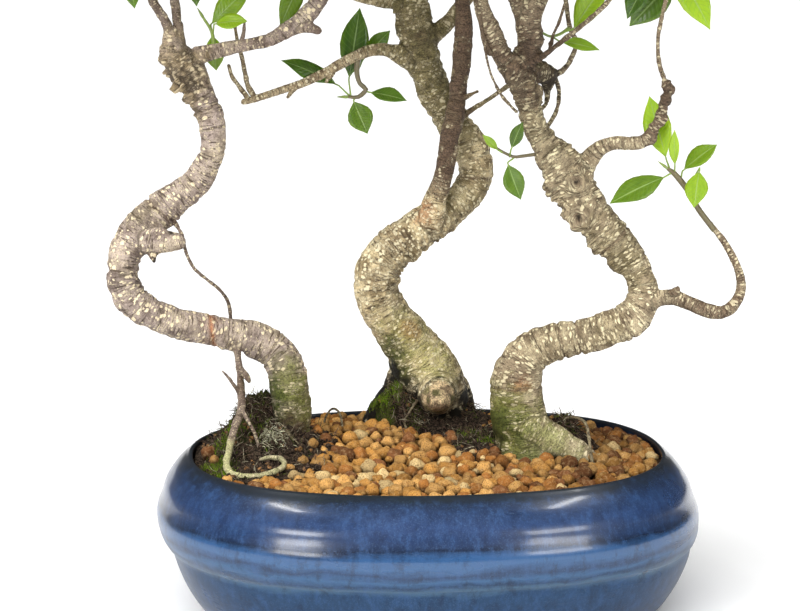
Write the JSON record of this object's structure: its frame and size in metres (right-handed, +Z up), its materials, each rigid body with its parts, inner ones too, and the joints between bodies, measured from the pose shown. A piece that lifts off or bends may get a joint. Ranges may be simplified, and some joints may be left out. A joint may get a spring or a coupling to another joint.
{
  "type": "ficus bonsai in an oval glazed pot",
  "caption": "Ficus bonsai: crooked bare trunks planted together under a broad leafy crown, in an oval blue-glazed pot with clay grains, peat mounds and surface roots.",
  "frame": {"origin": "on the plane that the pot's feet stand on, under the middle of the whole planting", "axes": "+Z up, +X to the right along the pot's long axis as seen from the front, -Y out of the front"},
  "size_m": [0.4826, 0.3362, 0.5752],
  "materials": {
    "glaze": "gloss",
    "plastic": "matte",
    "soil": "matte",
    "grains": "matte",
    "peat": "matte",
    "grey_bark": "matte",
    "olive_bark": "matte",
    "brown_bark": "matte",
    "leaf": "satin",
    "young_leaf": "satin"
  },
  "bodies": {
    "root": {"clay_grains": "grains", "drain_mesh_left": "plastic", "drain_mesh_right": "plastic", "far_left_twig": "leaf", "gold_twig": "leaf", "green_shoot": "young_leaf", "hanging_twig": "leaf", "high_right_twig": "leaf", "left_leafy_twig_1": "leaf", "left_leafy_twig_10": "leaf", "left_leafy_twig_11": "leaf", "left_leafy_twig_12": "leaf", "left_leafy_twig_2": "leaf", "left_leafy_twig_3": "leaf", "left_leafy_twig_4": "leaf", "left_leafy_twig_5": "leaf", "left_leafy_twig_6": "leaf", "left_leafy_twig_7": "leaf", "left_leafy_twig_8": "leaf", "left_leafy_twig_9": "leaf", "left_tip_twig": "leaf", "low_right_twig": "leaf", "middle_leafy_twig_1": "leaf", "middle_leafy_twig_10": "leaf", "middle_leafy_twig_11": "leaf", "middle_leafy_twig_12": "leaf", "middle_leafy_twig_13": "leaf", "middle_leafy_twig_2": "leaf", "middle_leafy_twig_3": "leaf", "middle_leafy_twig_4": "leaf", "middle_leafy_twig_5": "leaf", "middle_leafy_twig_6": "leaf", "middle_leafy_twig_7": "leaf", "middle_leafy_twig_8": "leaf", "middle_leafy_twig_9": "leaf", "pot": "glaze", "right_leafy_twig_1": "leaf", "right_leafy_twig_10": "leaf", "right_leafy_twig_11": "leaf", "right_leafy_twig_12": "leaf", "right_leafy_twig_13": "leaf", "right_leafy_twig_2": "leaf", "right_leafy_twig_3": "leaf", "right_leafy_twig_4": "leaf", "right_leafy_twig_5": "leaf", "right_leafy_twig_6": "leaf", "right_leafy_twig_7": "leaf", "right_leafy_twig_8": "leaf", "right_leafy_twig_9": "leaf", "root_mound_left": "peat", "root_mound_middle": "peat", "root_mound_right": "peat", "soil": "soil", "stem_twig": "young_leaf", "tree_left": "grey_bark", "tree_middle": "olive_bark", "tree_right": "brown_bark", "young_shoot": "young_leaf"}
  },
  "joints": []
}
